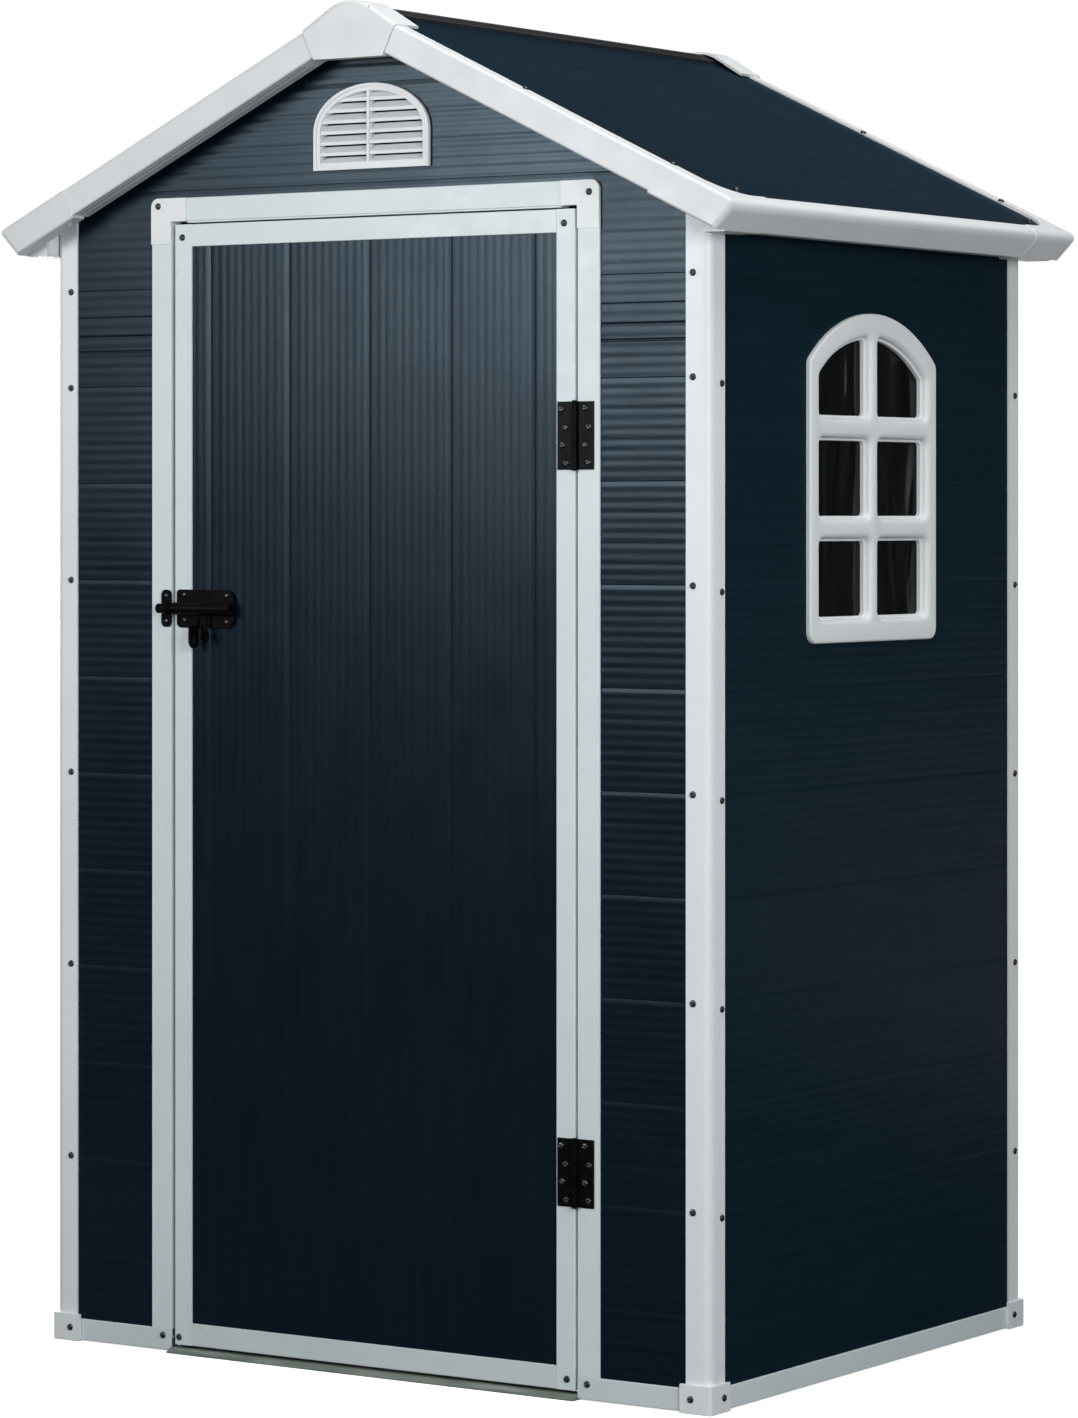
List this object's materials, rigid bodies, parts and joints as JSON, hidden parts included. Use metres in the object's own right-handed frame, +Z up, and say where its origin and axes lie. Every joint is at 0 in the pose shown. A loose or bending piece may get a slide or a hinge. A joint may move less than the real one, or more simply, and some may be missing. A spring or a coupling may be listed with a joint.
{
  "type": "small gable-roofed tool shed",
  "caption": "Small garden tool shed with ribbed walls, white trims, a gable roof, an arched side window and a hinged door held by a slide bolt.",
  "frame": {"origin": "centre of the bounding box's bottom face, on the ground under the feet", "axes": "+X to the right seen from the door, +Y from the door to the back wall, +Z up"},
  "size_m": [1.3354, 1.034, 2.045],
  "materials": {
    "trim": "satin white moulded plastic",
    "frame": "satin white paint",
    "board": "dark grey ribbed board",
    "sill": "dull grey",
    "glazing": "dark glossy sheet",
    "hardware": "satin black"
  },
  "bodies": {
    "shed": {"feet": "trim", "post_front_left": "trim", "post_front_right": "trim", "post_back_left": "trim", "post_back_right": "trim", "base_rail_front_left": "frame", "base_rail_front_right": "frame", "base_rail_left": "frame", "base_rail_right": "frame", "base_rail_back": "frame", "door_sill": "sill", "front_wall_left": "board", "front_wall_right": "board", "front_gable": "board", "left_wall": "board", "right_wall": "board", "back_wall": "board", "door_jamb_left": "frame", "door_jamb_right": "frame", "door_header": "frame", "door_frame_corners": "trim", "gable_vent": "trim", "window_frame": "trim", "window_glass": "glazing", "roof_panel_left": "board", "roof_panel_right": "board", "ridge_cap": "hardware", "barge_boards_front": "trim", "barge_boards_back": "trim", "eave_trim_left": "trim", "eave_trim_right": "trim", "apex_cap_front": "trim", "apex_cap_back": "trim", "roof_corners_front": "trim", "roof_corners_back": "trim", "hinge_frame_leaves": "hardware", "bolt_keeper": "hardware"},
    "door": {"door_panel": "board", "door_stile_left": "frame", "door_stile_right": "frame", "door_rail_top": "frame", "door_rail_bottom": "frame", "hinge_door_leaves": "hardware", "bolt_plate": "hardware"},
    "bolt": {"bolt_rod": "hardware"}
  },
  "joints": [
    {"name": "door_hinge", "type": "hinge", "parent": "shed", "child": "door", "pos_m": [0.371, -0.468, 0.863], "axis": [0, 0, 1], "range_deg": [0, 150]},
    {"name": "bolt_slide", "type": "slide", "parent": "door", "child": "bolt", "axis": [1, 0, 0], "range_m": [0, 0.036]}
  ]
}
